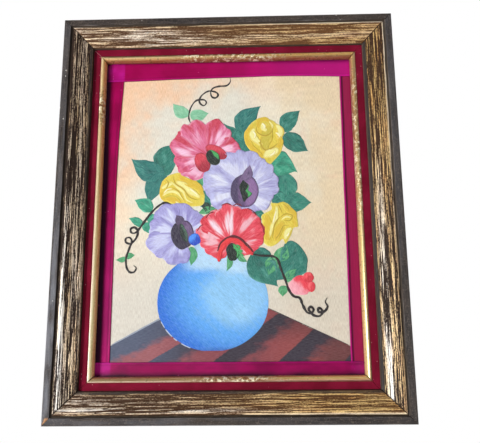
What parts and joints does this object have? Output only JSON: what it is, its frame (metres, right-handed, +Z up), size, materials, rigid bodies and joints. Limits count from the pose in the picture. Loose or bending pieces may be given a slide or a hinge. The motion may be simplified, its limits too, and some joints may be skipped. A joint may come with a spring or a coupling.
{
  "type": "framed oil painting",
  "caption": "Flower still life on a canvas panel, bordered by satin ribbon strips, in a velvet-faced liner with a gilded bead and a wide streaked gold and black moulding.",
  "frame": {"origin": "middle of the flat back of the hanger plate, on the back of the top rail", "axes": "+Z up as the picture hangs, +Y out of its back towards the wall, so the painting faces -Y, and +X to the right of someone who looks at the painting"},
  "size_m": [0.526, 0.0426, 0.628],
  "materials": {
    "moulding": "gilded and black lacquered, wire-brushed along its length, with a charcoal outer band",
    "liner": "bare wood with a gold-leafed bead",
    "velvet": "crimson velvet",
    "ribbon": "magenta satin ribbon on card",
    "canvas": "canvas on board, oil paint on its front",
    "plate": "brassed thin plate",
    "nail": "dull steel"
  },
  "bodies": {
    "root": {"frame_top": "moulding", "frame_right": "moulding", "frame_bottom": "moulding", "frame_left": "moulding", "liner_top": "liner", "liner_right": "liner", "liner_bottom": "liner", "liner_left": "liner", "velvet_top": "velvet", "velvet_right": "velvet", "velvet_bottom": "velvet", "velvet_left": "velvet", "ribbon_left": "ribbon", "ribbon_right": "ribbon", "ribbon_top": "ribbon", "ribbon_bottom": "ribbon", "canvas_panel": "canvas", "hanger_plate": "plate", "hanger_nail_left": "nail", "hanger_nail_right": "nail"}
  },
  "joints": []
}
